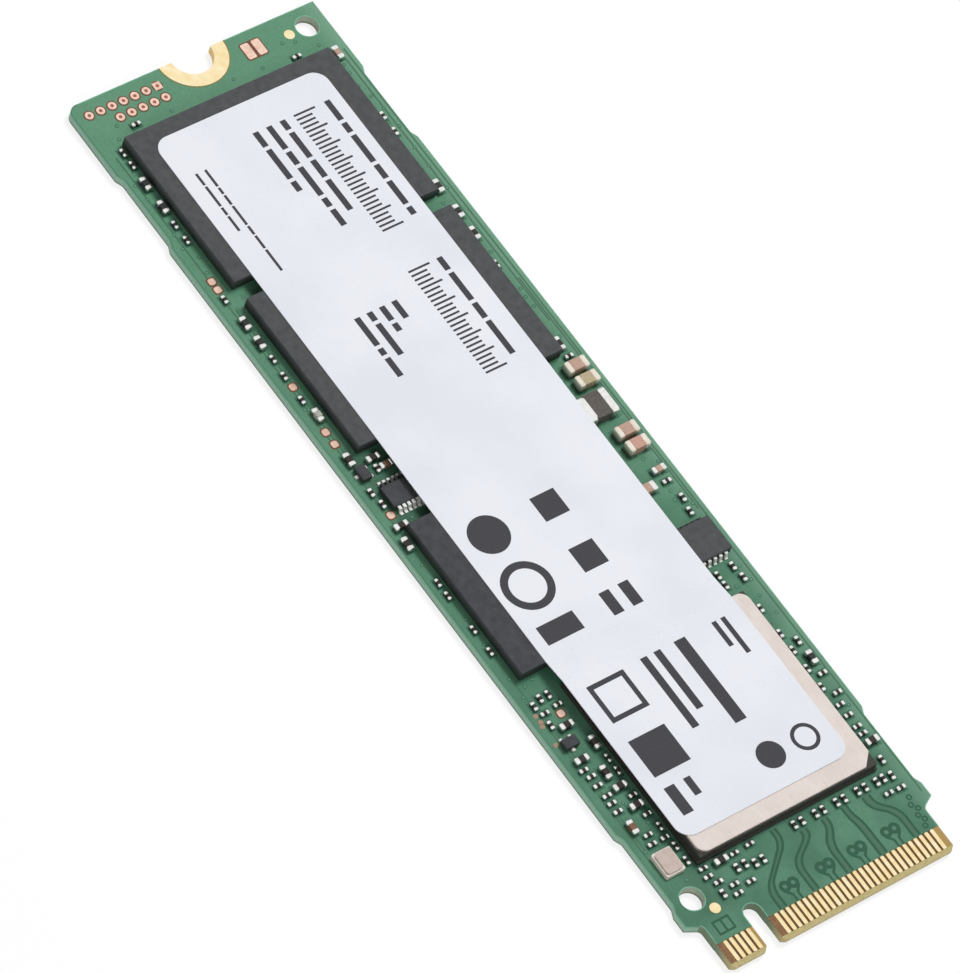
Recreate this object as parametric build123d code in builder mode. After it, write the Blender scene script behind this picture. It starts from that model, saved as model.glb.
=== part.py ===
from build123d import *
import os

# A bare single-sided M.2 solid-state drive: a printed circuit board with an edge connector at
# one end, a half-round screw notch at the other, and chips, passives and a label on its top face.
# +X runs from the notch end to the connector, +Y to the right long edge, z = 0 is the underside.
# All sizes are millimetres.

# Board
board_thickness = 0.8
mount_zone = 4.45            # notch end to the first flash chip
power_zone = 6.78            # second flash chip to the memory chip
contact_zone = 4.02          # controller to the shoulders of the tongue
tongue_length = 3.6
tongue_margin = 0.495        # outer contact to the tongue's side
shoulder_slope = 0.55
shoulder_round = 0.45
tip_corner = 0.25
far_left_round = 0.8
far_right_round = 0.3
recess_depth = 0.27          # break-off recesses in both long edges
recess_length = 7.0
recess_slope = 0.6
far_recess_start = 6.5       # from the notch end
near_recess_end = 1.7        # from the shoulders
tooling_diameter = 1.8
tooling_inset = 1.7          # hole centre to the long edge and to the notch end
near_tooling_setback = 2.1   # hole centre to the shoulders
solder_mask = 0.04           # step down to the bare laminate round the contacts

# Edge connector
contact_pitch = 0.5
contact_width = 0.36
contact_length = 1.7
contact_zone_length = 2.0    # bare laminate, back from the tip
contact_setback = 0.3        # contact ends to the tip, also the length of the bevel
bevel_depth = 0.2
main_contacts = 29
top_key_contacts = 5
bottom_key_contacts = 4
key_blank_contacts = 4       # places left out at the key notch
key_width = 1.4
key_depth = 3.5

# Screw notch
notch_radius = 1.75
land_radius = 2.85
land_thickness = 0.05

# Flash chips, memory chip and controller
flash_length = 14.0
flash_width = 18.2
flash_offset = 0.1           # middle of the flash chips, left of the centre line
flash_height = 1.05
flash_gap = 1.5
dram_length = 13.8
dram_width = 10.0
dram_height = 0.95
dram_margin = 1.2            # chip's left side to the left long edge
dram_gap = 1.75              # memory chip to the controller
controller_size = 16.1
controller_left_strip = 3.55  # controller's sides to the long edges
controller_right_strip = 2.35
substrate_height = 0.35
mould_height = 0.55
mould_inset = 0.12
lid_height = 0.3
lid_inset = 0.2
lid_round = 0.8
lid_corner = 0.95
lid_edge = 0.06

# Label
label_thickness = 0.08
label_round = 1.2
label_far_margin = 1.35      # first flash chip's end to the label
label_near_margin = 1.62     # label to the controller's end
label_left_margin = 3.24     # label's sides to the long edges
label_right_margin = 3.76

# Passives: length, width and height over the metal ends, and the length of one end
tiny_length = 0.6
tiny_width = 0.3
tiny_height = 0.3
tiny_end = 0.16
small_length = 1.0
small_width = 0.5
small_height = 0.5
small_end = 0.26
medium_length = 1.6
medium_width = 0.8
medium_height = 0.6
medium_end = 0.36
bulk_length = 1.65
bulk_width = 0.95
bulk_height = 0.85
bulk_end = 0.36
coil_length = 2.5
coil_width = 2.15
coil_height = 0.95
coil_end = 0.56
end_lip = 0.015              # how far a metal end stands proud of the body
lane_count = 4
lane_pitch = 1.9             # coupling capacitors, one pair for each lane
pair_pitch = 0.69
first_lane_offset = 6.67     # first pair to the centre line
coupling_gap = 0.42          # controller to the coupling capacitors

# Chips with bent leads
wide_chip_length = 3.0
wide_chip_width = 3.0
wide_chip_height = 0.85
wide_lead_count = 5
wide_lead_pitch = 0.5
wide_lead_reach = 0.36
thin_chip_length = 1.8
thin_chip_width = 2.8
thin_chip_height = 0.55
thin_lead_count = 6
thin_lead_pitch = 0.4
thin_lead_reach = 0.6
chip_standoff = 0.08
lead_thickness = 0.1
lead_width = 0.24
transistor_length = 1.2
transistor_width = 0.8
transistor_height = 0.5
transistor_lead = 0.22

# Crystal
crystal_length = 2.0
crystal_width = 1.6
crystal_base_height = 0.38
crystal_lid_inset = 0.12
crystal_lid_height = 0.14
crystal_round = 0.2

# Bare pads
pad_thickness = 0.03
test_pad_diameter = 0.66
test_pad_drill = 0.24
drill_sides = 8
test_pad_pitch = 1.0
test_row_gap = 1.1
test_row_inset = 1.25        # first row to the notch end
test_side_inset = 1.15       # outer pad to the left long edge
long_row_pads = 7
short_row_pads = 5
jumper_length = 1.4
jumper_width = 0.7
jumper_pitch = 0.96
jumper_inset = 1.65          # pads to the notch end
jumper_offset = 4.5          # middle of the pair to the centre line
fiducial_diameter = 0.82
far_fiducial_inset = 1.75    # to the notch end
far_fiducial_margin = 3.35   # to the right long edge
near_fiducial_setback = 0.75  # to the shoulders
near_fiducial_margin = 2.7   # to the left long edge
spare_pad_size = 0.55

# The chips stand in a row, and the board is as long and as wide as that row needs
board_length = (mount_zone + 2 * flash_length + flash_gap + power_zone + dram_length + dram_gap
                + controller_size + contact_zone + tongue_length)
board_width = controller_left_strip + controller_size + controller_right_strip
half_width = board_width / 2
notch_end = -board_length / 2
tip = board_length / 2
flash_far_start = notch_end + mount_zone
flash_near_start = flash_far_start + flash_length + flash_gap
flash_near_end = flash_near_start + flash_length
dram_start = flash_near_end + power_zone
dram_end = dram_start + dram_length
controller_start = dram_end + dram_gap
controller_end = controller_start + controller_size
shoulder = controller_end + contact_zone
dram_side = dram_margin - half_width
controller_left = controller_left_strip - half_width
controller_right = half_width - controller_right_strip
controller_x = controller_start + controller_size / 2
controller_y = (controller_left + controller_right) / 2
controller_height = substrate_height + mould_height + lid_height
power_run = power_zone + dram_length + dram_gap

# Contact rows: the top one is centred on the tongue with its blank places, the bottom one is half a
# pitch to the left, between the top row's gaps
top_places = main_contacts + key_blank_contacts + top_key_contacts
first_top_y = (top_places - 1) / 2 * contact_pitch
main_top_y = first_top_y - (main_contacts - 1) / 2 * contact_pitch
main_bottom_y = main_top_y - contact_pitch / 2
key_side_y = (top_key_contacts - 1) / 2 * contact_pitch - first_top_y
key_y = first_top_y - (main_contacts + (key_blank_contacts - 1) / 2 + 0.25) * contact_pitch
contact_x = tip - contact_setback - contact_length / 2
tongue_half = first_top_y + contact_width / 2 + tongue_margin

ON_TOP = (Align.CENTER, Align.CENTER, Align.MIN)
tiny = (tiny_length, tiny_width, tiny_height, tiny_end)
small = (small_length, small_width, small_height, small_end)
medium = (medium_length, medium_width, medium_height, medium_end)
bulk = (bulk_length, bulk_width, bulk_height, bulk_end)
coil = (coil_length, coil_width, coil_height, coil_end)

os.makedirs("parts", exist_ok=True)


def write(builder, name):
    """Label a finished piece and write it as its own node."""
    builder.part.label = name
    export_step(builder.part, f"parts/{name}.step")


def beside_flash(start, side, spots):
    """Spots in the strip beside a flash chip: shares of its length and of the strip's width."""
    edge = side * flash_width / 2 - flash_offset
    return [(start + along * flash_length, edge + out * (side * half_width - edge)) for along, out in spots]


def beside_controller(side, spots):
    """Spots beside the controller: a share of its length, and the distance out from its side."""
    edge = controller_right if side > 0 else controller_left
    return [(controller_start + along * controller_size, edge + side * out) for along, out in spots]


def beside_dram(spots):
    """Spots left of the memory chip: a share of its length, and the distance out from its side."""
    return [(dram_start + along * dram_length, dram_side - out) for along, out in spots]


def in_power_zone(spots):
    """Spots between flash and memory: a share of that zone, and the distance in from the left edge."""
    return [(flash_near_end + along * power_zone, inward - half_width) for along, inward in spots]


def on_power_run(spots):
    """Spots along the right edge up to the controller: a share of that run, and the distance in."""
    return [(flash_near_end + along * power_run, half_width - inward) for along, inward in spots]


def in_contact_zone(spots):
    """Spots in front of the controller: the distance from its end, and a share of the half width."""
    return [(controller_end + ahead, across * half_width) for ahead, across in spots]


# Circuit board
with BuildPart() as circuit_board:
    with BuildSketch() as outline:
        with BuildLine():
            recess_y = half_width - recess_depth
            far_end = notch_end + far_recess_start + recess_length
            near_end = shoulder - near_recess_end
            Polyline(
                (notch_end, 0),
                (notch_end, half_width),
                (far_end - recess_length, half_width),
                (far_end - recess_length + recess_slope, recess_y),
                (far_end - recess_slope, recess_y),
                (far_end, half_width),
                (near_end - recess_length, half_width),
                (near_end - recess_length + recess_slope, recess_y),
                (near_end - recess_slope, recess_y),
                (near_end, half_width),
                (shoulder - shoulder_slope, half_width),
                (shoulder, tongue_half),
                (tip - tip_corner, tongue_half),
                (tip, tongue_half - tip_corner),
                (tip, 0),
            )
            mirror(about=Plane.XZ)
        make_face()
        far_corners = outline.vertices().group_by(Axis.X)[0].sort_by(Axis.Y)
        fillet(far_corners[0], far_left_round)
        fillet(far_corners[-1], far_right_round)
        inner_corners = [corner for corner in outline.vertices() if abs(corner.X - shoulder) < tip_corner]
        fillet(inner_corners, shoulder_round)
        with Locations((tip, key_y)):
            SlotCenterToCenter(2 * key_depth - key_width, key_width, mode=Mode.SUBTRACT)
        chamfer(outline.vertices().group_by(Axis.X)[-1].sort_by(Axis.Y)[1:3], tip_corner)
        with Locations((notch_end, 0)):
            Circle(notch_radius, mode=Mode.SUBTRACT)
        with Locations((notch_end + tooling_inset, half_width - tooling_inset),
                       (shoulder - near_tooling_setback, tooling_inset - half_width)):
            Circle(tooling_diameter / 2, mode=Mode.SUBTRACT)
    extrude(amount=board_thickness)
    with Locations((notch_end, 0, 0), (notch_end, 0, board_thickness - land_thickness)):
        Cylinder(land_radius, land_thickness, align=ON_TOP, mode=Mode.SUBTRACT)
    with BuildSketch(Plane.XZ) as contact_step:
        with BuildLine():
            Polyline(
                (tip - contact_zone_length, 0),
                (tip - contact_zone_length, solder_mask),
                (tip - contact_setback, solder_mask),
                (tip, solder_mask + bevel_depth),
                (tip, 0),
                close=True,
            )
        make_face()
        mirror(about=Plane.XZ.offset(-board_thickness / 2))
    extrude(amount=half_width, both=True, mode=Mode.SUBTRACT)
write(circuit_board, "circuit_board")


# Edge contacts
def write_contacts(name, row_y, count, z):
    """One row of gold contacts, flush with the solder mask's face."""
    with BuildPart() as contacts:
        with Locations((contact_x, row_y, z)):
            with GridLocations(contact_length, contact_pitch, 1, count):
                Box(contact_length, contact_width, solder_mask, align=ON_TOP)
    write(contacts, name)


write_contacts("contacts_top_main", main_top_y, main_contacts, board_thickness - solder_mask)
write_contacts("contacts_top_key", key_side_y, top_key_contacts, board_thickness - solder_mask)
write_contacts("contacts_bottom_main", main_bottom_y, main_contacts, 0)
write_contacts("contacts_bottom_key", key_side_y, bottom_key_contacts, 0)

# Screw notch plating: a half-round land on each face
with BuildPart() as notch_plating:
    with BuildSketch(Plane.XY, Plane.XY.offset(board_thickness - land_thickness)) as lands:
        with Locations((notch_end, 0)):
            Circle(land_radius)
            Circle(notch_radius, mode=Mode.SUBTRACT)
    extrude(amount=land_thickness)
    split(bisect_by=Plane.YZ.offset(notch_end))
write(notch_plating, "screw_notch_plating")

# Bare pads
with BuildPart() as test_pads:
    outer_y = test_side_inset - half_width
    with BuildSketch(Plane.XY.offset(board_thickness)) as pad_faces:
        for row, count in enumerate((long_row_pads, short_row_pads)):
            inner_y = outer_y + (long_row_pads - 1) * test_pad_pitch
            row_x = notch_end + test_row_inset + row * test_row_gap
            with Locations(*[(row_x, inner_y - step * test_pad_pitch) for step in range(count)]):
                Circle(test_pad_diameter / 2)
                RegularPolygon(test_pad_drill / 2, drill_sides, mode=Mode.SUBTRACT)
    extrude(amount=pad_thickness)
write(test_pads, "test_pads")

with BuildPart() as jumper_pads:
    with Locations((notch_end + jumper_inset, jumper_offset, board_thickness)):
        with GridLocations(jumper_length, jumper_pitch, 1, 2):
            Box(jumper_length, jumper_width, pad_thickness, align=ON_TOP)
write(jumper_pads, "jumper_pads")

with BuildPart() as fiducials:
    with Locations((notch_end + far_fiducial_inset, half_width - far_fiducial_margin, board_thickness),
                   (shoulder - near_fiducial_setback, near_fiducial_margin - half_width, board_thickness)):
        Cylinder(fiducial_diameter / 2, pad_thickness, align=ON_TOP)
write(fiducials, "fiducial_dots")

with BuildPart() as spare_pads:
    spare_spots = (
        beside_flash(flash_far_start, -1, [(0.91, 0.49), (0.965, 0.49)])
        + beside_flash(flash_near_start, -1, [(0.52, 0.44), (0.82, 0.5), (0.9, 0.5)])
        + in_power_zone([(0.78, 1.05)])
        + beside_controller(-1, [(0.11, 1.25)])
    )
    with BuildSketch(Plane.XY.offset(board_thickness)) as spare_faces:
        with Locations(*spare_spots):
            Rectangle(spare_pad_size, spare_pad_size)
    extrude(amount=pad_thickness)
write(spare_pads, "spare_pads")


# Flash and memory chips
def write_chip(name, start, y, length, width, height):
    """One moulded chip package, seated on the board."""
    with BuildPart() as chip:
        with Locations((start + length / 2, y, board_thickness)):
            Box(length, width, height, align=ON_TOP)
    write(chip, name)


write_chip("flash_chip_far", flash_far_start, -flash_offset, flash_length, flash_width, flash_height)
write_chip("flash_chip_near", flash_near_start, -flash_offset, flash_length, flash_width, flash_height)
write_chip("memory_chip", dram_start, dram_side + dram_width / 2, dram_length, dram_width, dram_height)

# Controller: a laminate substrate with a black moulding, and a metal lid with one cut corner
with BuildPart() as controller_base:
    with Locations((controller_x, controller_y, board_thickness)):
        Box(controller_size, controller_size, substrate_height, align=ON_TOP)
    mould_size = controller_size - 2 * mould_inset
    with Locations((controller_x, controller_y, board_thickness + substrate_height)):
        Box(mould_size, mould_size, mould_height, align=ON_TOP)
write(controller_base, "controller_base")

lid_size = controller_size - 2 * lid_inset
with BuildPart() as controller_lid:
    lid_plane = Plane.XY.offset(board_thickness + substrate_height + mould_height)
    with BuildSketch(lid_plane) as lid_face:
        with Locations((controller_x, controller_y)):
            Rectangle(lid_size, lid_size)
        lid_corners = lid_face.vertices().sort_by(lambda corner: corner.X + corner.Y)
        chamfer(lid_corners[-1], lid_corner)
        fillet(lid_corners[:-1], lid_round)
    extrude(amount=lid_height)
    chamfer(controller_lid.faces().sort_by(Axis.Z)[-1].edges(), lid_edge)
write(controller_lid, "controller_lid")

# Label: a thin sheet laid over the chip tops, stepping down to the memory chip and up to the lid
with BuildPart() as label:
    flash_top = board_thickness + flash_height
    dram_top = board_thickness + dram_height
    lid_top = board_thickness + controller_height
    label_start = flash_far_start + label_far_margin
    label_end = controller_end - label_near_margin
    lid_start = controller_start + lid_inset
    under = [(label_start, flash_top), (flash_near_end, flash_top), (dram_start, dram_top),
             (dram_end, dram_top), (lid_start, lid_top), (label_end, lid_top)]
    over = [(x, z + label_thickness) for x, z in reversed(under)]
    with BuildSketch(Plane.XZ) as label_profile:
        with BuildLine():
            Polyline(*under, *over, close=True)
        make_face()
    extrude(amount=half_width, both=True)
    with BuildSketch() as label_outline:
        label_width = board_width - label_left_margin - label_right_margin
        with Locations(((label_start + label_end) / 2, (label_left_margin - label_right_margin) / 2)):
            RectangleRounded(label_end - label_start, label_width, label_round)
    extrude(amount=lid_top + board_thickness, mode=Mode.INTERSECT)
write(label, "label")


# Chips with bent leads
def write_leaded_chip(name, spot, size, lead_count, pitch, reach):
    """A moulded chip body on two rows of bent leads, written as two nodes."""
    length, width, height = size
    x, y = spot
    knee = board_thickness + chip_standoff + (height - chip_standoff) / 2
    foot = reach / 2
    with BuildPart() as body:
        with Locations((x, y, board_thickness + chip_standoff)):
            Box(length, width, height - chip_standoff, align=ON_TOP)
        chamfer(body.edges().filter_by(Axis.Y).group_by(Axis.Z)[-1], chip_standoff)
    write(body, f"{name}_body")

    with BuildPart() as leads:
        with BuildSketch(Plane.XZ) as lead_profile:
            with BuildLine():
                side = length / 2
                bend = side + reach - foot
                Polyline(
                    (side, knee),
                    (side, knee + lead_thickness),
                    (bend, knee + lead_thickness),
                    (bend + lead_thickness, board_thickness + lead_thickness),
                    (side + reach, board_thickness + lead_thickness),
                    (side + reach, board_thickness),
                    (bend, board_thickness),
                    (bend - lead_thickness, knee),
                    close=True,
                )
            make_face()
        extrude(amount=lead_width / 2, both=True)
        mirror(about=Plane.YZ)
    lead_pair = leads.part
    with BuildPart() as lead_rows:
        with Locations((x, y)):
            with GridLocations(length, pitch, 1, lead_count):
                add(lead_pair)
    write(lead_rows, f"{name}_leads")


wide_chip_spot = on_power_run([(0.789, 2.4)])[0]
thin_chip_spot = in_power_zone([(0.615, 2.8)])[0]
write_leaded_chip("wide_chip", wide_chip_spot, (wide_chip_length, wide_chip_width, wide_chip_height),
                  wide_lead_count, wide_lead_pitch, wide_lead_reach)
write_leaded_chip("thin_chip", thin_chip_spot, (thin_chip_length, thin_chip_width, thin_chip_height),
                  thin_lead_count, thin_lead_pitch, thin_lead_reach)

# Transistors: two leads on one side of the body, one on the other
transistor_spots = [(*in_power_zone([(0.24, 1.15)])[0], 0), (*beside_controller(-1, [(0.253, 2.25)])[0], 90)]
transistor_places = [Location((x, y, board_thickness), (0, 0, turn)) for x, y, turn in transistor_spots]
with BuildPart() as transistor_bodies:
    with Locations(*transistor_places):
        with Locations((0, 0, chip_standoff)):
            Box(transistor_length, transistor_width, transistor_height - chip_standoff, align=ON_TOP)
write(transistor_bodies, "transistor_bodies")

with BuildPart() as transistor_leads:
    lead_y = transistor_width / 2 + transistor_lead / 2
    pair_x = transistor_length / 2 - transistor_lead
    with Locations(*transistor_places):
        with Locations((-pair_x, lead_y), (pair_x, lead_y), (0, -lead_y)):
            Box(transistor_lead, transistor_lead, lead_thickness + chip_standoff, align=ON_TOP)
write(transistor_leads, "transistor_leads")

# Crystal: a ceramic base with a welded metal lid
crystal_spot = beside_controller(-1, [(0.932, 1.78)])[0]
with BuildPart() as crystal_base:
    with BuildSketch(Plane.XY.offset(board_thickness)):
        with Locations(crystal_spot):
            RectangleRounded(crystal_length, crystal_width, crystal_lid_inset)
    extrude(amount=crystal_base_height)
write(crystal_base, "crystal_base")

with BuildPart() as crystal_lid:
    with BuildSketch(Plane.XY.offset(board_thickness + crystal_base_height)):
        with Locations(crystal_spot):
            RectangleRounded(crystal_length - 2 * crystal_lid_inset, crystal_width - 2 * crystal_lid_inset,
                             crystal_round)
    extrude(amount=crystal_lid_height)
write(crystal_lid, "crystal_lid")


# Passives
def write_passives(name, places):
    """Bodies and metal ends of one group, as two nodes. Places are keyed by case and turn in degrees."""
    with BuildPart() as bodies:
        for (case, turn), spots in places.items():
            length, width, height, end = case
            with Locations(*[Location((x, y, board_thickness + end_lip), (0, 0, turn)) for x, y in spots]):
                Box(length - 2 * end, width - 2 * end_lip, height - 2 * end_lip, align=ON_TOP)
    write(bodies, f"{name}_bodies")

    with BuildPart() as ends:
        for (case, turn), spots in places.items():
            length, width, height, end = case
            with Locations(*[Location((x, y, board_thickness), (0, 0, turn)) for x, y in spots]):
                with GridLocations(length - end, width, 2, 1):
                    Box(end, width, height, align=ON_TOP)
    write(ends, f"{name}_ends")


write_passives("bulk_capacitor", {
    (bulk, 90): on_power_run([(0.061, 1.7), (0.121, 1.7), (0.337, 1.7), (0.396, 1.7)]),
})
write_passives("inductor", {
    (coil, 90): on_power_run([(0.22, 2.5)]),
})
write_passives("left_edge_passive", {
    (tiny, 0): beside_flash(flash_far_start, -1, [(0.05, 0.2), (0.135, 0.2), (0.54, 0.3), (0.645, 0.3),
                                                  (1.035, 0.56)])
    + beside_flash(flash_near_start, -1, [(0.34, 0.44), (0.45, 0.5), (0.61, 0.52)])
    + beside_dram([(0.34, 0.48), (0.425, 0.48), (0.65, 0.48), (0.795, 0.48)]),
    (small, 0): beside_flash(flash_far_start, -1, [(0.265, 0.28), (0.425, 0.28)])
    + beside_flash(flash_near_start, -1, [(0.1, 0.5), (0.23, 0.5), (0.725, 0.39)])
    + beside_dram([(0.08, 0.63)]),
    (tiny, 90): [(flash_far_start - 1, -0.4 * flash_width), (flash_far_start - 0.75, 0.38 * flash_width)],
})
write_passives("right_edge_passive", {
    (tiny, 0): beside_flash(flash_far_start, 1, [(0.46, 0.3), (0.57, 0.3)])
    + beside_flash(flash_near_start, 1, [(0.385, 0.23)])
    + on_power_run([(0.62, 1.2), (0.673, 1.42), (0.903, 1.42), (0.952, 1.28), (0.91, 2.9), (0.95, 2.9)]),
    (small, 0): beside_flash(flash_far_start, 1, [(0.025, 0.39), (0.96, 0.27)])
    + beside_flash(flash_near_start, 1, [(0.03, 0.28), (0.18, 0.25), (0.94, 0.21)]),
    (tiny, 90): on_power_run([(0.014, 1.45), (0.546, 1.4)]),
    (small, 90): on_power_run([(0.5, 1.42)]),
    (medium, 90): on_power_run([(0.545, 3.35)]),
})
write_passives("power_zone_passive", {
    (tiny, 0): in_power_zone([(0.25, 2.37), (0.47, 0.8), (0.64, 0.97)]),
    (small, 0): beside_flash(flash_near_start, -1, [(1.018, 0.5)]),
    (small, 90): in_power_zone([(0.13, 2.55), (0.26, 3.12), (0.95, 1.05)]),
})
write_passives("controller_left_passive", {
    (tiny, 0): beside_controller(-1, [(0.01, 1.23), (0.01, 1.96), (0.03, 2.7), (0.14, 2.55), (0.39, 0.48),
                                      (0.46, 0.48), (0.77, 0.48), (0.88, 0.45), (0.96, 0.45)]),
    (tiny, 90): beside_controller(-1, [(0.07, 1.08), (0.08, 2.35), (0.39, 2.63), (0.43, 2.45), (0.48, 2.46),
                                       (0.54, 2.38), (0.58, 2.43), (0.625, 2.43), (0.59, 0.68), (0.695, 0.68),
                                       (0.825, 0.7), (0.78, 1.65), (0.825, 1.83)]),
    (small, 0): beside_controller(-1, [(0.3, 0.65), (0.445, 1.4), (0.72, 2.35)]),
    (small, 90): beside_controller(-1, [(0.175, 1.6), (0.345, 2.3), (0.53, 1.15), (0.64, 1.0)]),
})
write_passives("controller_right_passive", {
    (tiny, 0): beside_controller(1, [(0.1, 0.57), (0.245, 0.57), (0.34, 0.57), (0.445, 0.57), (0.55, 0.57),
                                     (0.31, 1.38), (0.97, 0.82)]),
    (tiny, 90): beside_controller(1, [(0.495, 1.35), (0.605, 1.35), (0.66, 0.9), (0.72, 0.9), (0.785, 0.9),
                                      (0.825, 0.9)]),
    (small, 0): beside_controller(1, [(0.41, 1.35)]),
    (small, 90): beside_controller(1, [(0.875, 1.08)]),
})
write_passives("contact_zone_passive", {
    (tiny, 0): in_contact_zone([(1.82, -0.273), (1.82, -0.336), (1.52, -0.398), (1.52, -0.462),
                                (2.69, -0.653), (0.87, 0.847), (0.77, 0.784), (0.77, 0.729)]),
    (tiny, 90): in_contact_zone([(0.42, -0.286), (0.49, -0.415), (2.82, -0.439), (2.47, -0.548),
                                 (3.17, -0.564), (1.79, -0.63), (0.42, -0.659), (1.12, -0.666),
                                 (1.97, 0.847), (1.92, 0.75)]),
    (small, 90): in_contact_zone([(0.52, -0.527)]),
})

# Coupling capacitors: one pair for each lane of the connector
lane_middles = [first_lane_offset - lane * lane_pitch for lane in range(lane_count)]
coupling_rows = [y + half * pair_pitch / 2 for y in lane_middles for half in (1, -1)]
write_passives("coupling_capacitor", {
    (tiny, 0): [(controller_end + coupling_gap + tiny_length / 2, y) for y in coupling_rows],
})
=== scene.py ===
import math
import random

import bmesh
import bpy
from mathutils import Matrix, Vector


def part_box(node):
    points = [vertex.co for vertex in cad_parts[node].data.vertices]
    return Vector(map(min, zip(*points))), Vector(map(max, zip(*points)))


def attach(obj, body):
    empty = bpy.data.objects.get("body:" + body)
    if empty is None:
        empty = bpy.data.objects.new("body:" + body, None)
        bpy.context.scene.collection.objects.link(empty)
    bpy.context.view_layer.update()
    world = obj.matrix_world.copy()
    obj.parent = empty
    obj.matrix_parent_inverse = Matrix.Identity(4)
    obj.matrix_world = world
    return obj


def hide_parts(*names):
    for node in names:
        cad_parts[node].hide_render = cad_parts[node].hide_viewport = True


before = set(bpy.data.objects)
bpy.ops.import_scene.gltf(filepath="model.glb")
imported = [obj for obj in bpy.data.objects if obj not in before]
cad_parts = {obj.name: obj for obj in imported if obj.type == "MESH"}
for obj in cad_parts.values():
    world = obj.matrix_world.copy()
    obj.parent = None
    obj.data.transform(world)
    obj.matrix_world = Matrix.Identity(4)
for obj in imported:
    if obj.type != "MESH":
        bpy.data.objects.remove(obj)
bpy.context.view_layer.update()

# A bare solid-state drive lying on a pale floor. Pieces are modelled in millimetres and scaled to
# metres at the end; +X runs to the connector, +Y to the right long edge, z = 0 is the underside.
MM = 0.001
board_low, board_high = (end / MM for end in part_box("circuit_board"))
board_top = board_high.z
tip = board_high.x
notch_end = board_low.x
right_edge = board_high.y
left_edge = board_low.y

# Places on the board that finishes and pieces share
tongue_start = tip - 3.7
laminate_start = tip - 2.0  # bare laminate round the contacts
bevel_start = tip - 0.3
notch_reach = 1.8  # a little past the notch wall
tooling_inset = 1.7
tooling_holes = [(notch_end + tooling_inset, right_edge - tooling_inset),
                 (34.3, left_edge + tooling_inset)]
contact_rows = [(2.25, 7.1), (-8.25, 1.1)]  # middle of a row and half its width


# ---------------------------------------------------------------- shader sums
class Signal:
    """A socket of a shader node. Sums of signals and numbers add Math nodes."""

    def __init__(self, tree, socket=None):
        self.tree = tree
        self.socket = socket

    def node(self, kind, settings, inputs, output=0):
        """Add a node of any kind: its settings first, then the values or links of its sockets."""
        made = self.tree.nodes.new("ShaderNode" + kind)
        for name, value in settings.items():
            setattr(made, name, value)
        for name, value in inputs.items():
            if isinstance(value, Signal):
                self.tree.links.new(value.socket, made.inputs[name])
            else:
                made.inputs[name].default_value = value
        return Signal(self.tree, made.outputs[output] if made.outputs else None)

    def math(self, operation, *values):
        return self.node("Math", {"operation": operation}, dict(enumerate(values)))

    def __add__(self, other):
        return self.math("ADD", self, other)

    __radd__ = __add__

    def __sub__(self, other):
        return self.math("SUBTRACT", self, other)

    def __rsub__(self, other):
        return self.math("SUBTRACT", other, self)

    def __mul__(self, other):
        return self.math("MULTIPLY", self, other)

    __rmul__ = __mul__

    def __gt__(self, other):
        return self.math("GREATER_THAN", self, other)

    def __lt__(self, other):
        return self.math("LESS_THAN", self, other)

    def __abs__(self):
        return self.math("ABSOLUTE", self)

    def scaled(self, factor):
        return self.node("VectorMath", {"operation": "SCALE"}, {"Vector": self, "Scale": factor})

    def parts(self):
        split = self.node("SeparateXYZ", {}, {"Vector": self})
        return [Signal(self.tree, socket) for socket in split.socket.node.outputs]

    def noise(self, scale, detail=2.0):
        return self.node("TexNoise", {}, {"Vector": self, "Scale": scale, "Detail": detail})

    def ramp(self, low, high):
        return self.node("MapRange", {}, {"Value": self, "From Min": low, "From Max": high})

    def blend(self, first, second):
        """This signal as the share of the second colour."""
        return self.node("Mix", {"data_type": "RGBA"}, {0: self, 6: first, 7: second}, 2)

    def bump(self, height_mm, strength=1.0):
        return self.node("Bump", {}, {"Height": self, "Distance": height_mm * MM, "Strength": strength})


def paint(card):
    """A colour from a paint card, #rrggbb, in the linear light that the shader works in."""
    shares = [int(card[start:start + 2], 16) / 255 for start in (1, 3, 5)]
    return (*[c / 12.92 if c <= 0.04045 else ((c + 0.055) / 1.055) ** 2.4 for c in shares], 1.0)


def empty_tree(owner):
    """The cleared shader tree of a material or of the world."""
    owner.use_nodes = True
    owner.node_tree.nodes.clear()
    return Signal(owner.node_tree)


def make_finish(name, recipe, **fixed):
    """A material. The recipe gets the place on the part in millimetres and returns what varies."""
    material = bpy.data.materials.new(name)
    start = empty_tree(material)
    place = start.node("TexCoord", {}, {}, "Object").scaled(1 / MM)
    shader = start.node("BsdfPrincipled", {}, {**fixed, **recipe(place)})
    start.node("OutputMaterial", {}, {"Surface": shader})
    return material


# ---------------------------------------------------------------- finishes
def walls(place):
    """1 on upright faces, 0 on level ones."""
    return abs(place.node("NewGeometry", {}, {}, "Normal").parts()[2]) < 0.5


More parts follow.
